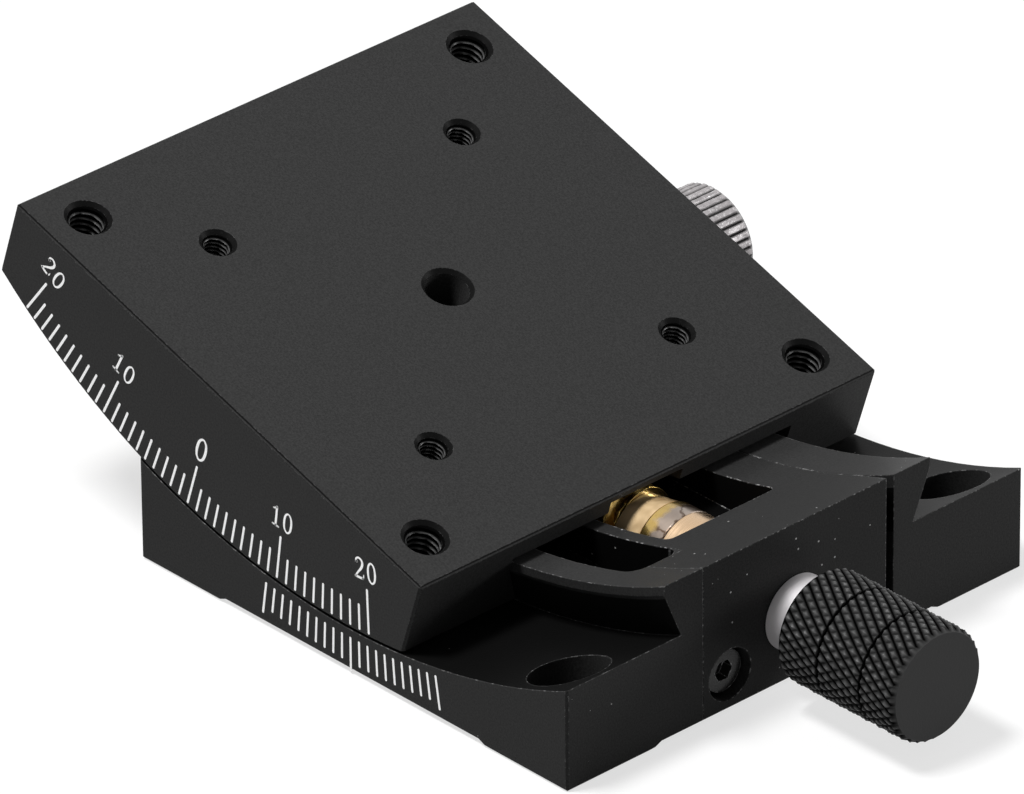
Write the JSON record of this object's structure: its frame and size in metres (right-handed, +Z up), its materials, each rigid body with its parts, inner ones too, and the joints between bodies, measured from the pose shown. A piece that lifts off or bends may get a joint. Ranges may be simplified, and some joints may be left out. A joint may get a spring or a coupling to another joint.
{
  "type": "goniometer stage",
  "caption": "Manual goniometer stage: a black table that tilts on a curved dovetail, driven by a worm with a knurled knob, with an angle scale, a vernier and a lock screw.",
  "frame": {"origin": "centre of the base's underside, on the plane it rests on, in the middle of the four mounting holes", "axes": "+X towards the drive knob, +Z up, -Y the side with the angle scale; the table is shown tilted 18 degrees about +Y"},
  "size_m": [0.0989, 0.0692, 0.0321],
  "materials": {
    "body_black": "matt black anodised",
    "knob_black": "black anodised, knurled",
    "collar_grey": "satin grey anodised",
    "brass": "machined",
    "shaft_steel": "ground",
    "lock_steel": "turned and knurled",
    "screw_black": "black oxide"
  },
  "bodies": {
    "base": {"base_block": "body_black", "drive_block": "body_black", "carrier_screws": "screw_black", "front_bush": "brass", "rear_bush": "brass"},
    "drive": {"worm": "brass", "thrust_sleeve": "brass", "worm_shaft": "shaft_steel", "worm_pin": "shaft_steel", "retaining_ring": "shaft_steel", "shaft_collar": "collar_grey", "drive_knob": "knob_black", "knob_set_screw": "screw_black"},
    "table": {"tilt_table": "body_black", "worm_sector": "brass", "sector_screws": "screw_black", "gib_strip": "brass", "gib_screws": "screw_black"},
    "lock_tip": {"lock_nose": "brass"},
    "lock_knob": {"lock_screw": "lock_steel"}
  },
  "joints": [
    {"name": "tilt", "type": "hinge", "parent": "base", "child": "table", "pos_m": [0, 0, 0.08], "axis": [0, 1, 0], "range_deg": [-38, 2]},
    {"name": "knob_turn", "type": "hinge", "parent": "base", "child": "drive", "pos_m": [0, -0.0004, 0.00765], "axis": [1, 0, 0], "range_deg": [-9120, 480]},
    {"name": "lock_press", "type": "slide", "parent": "table", "child": "lock_tip", "axis": [0, -1, 0], "range_m": [0, 0.0002]},
    {"name": "lock_turn", "type": "hinge", "parent": "lock_tip", "child": "lock_knob", "pos_m": [-0.02213, 0.035, 0.0119], "axis": [0, -1, 0], "range_deg": [0, 103]}
  ],
  "couplings": [
    {"joint": "knob_turn", "follows": "tilt", "ratio": 240},
    {"joint": "lock_turn", "follows": "lock_press", "rad_per_m": 8976}
  ]
}
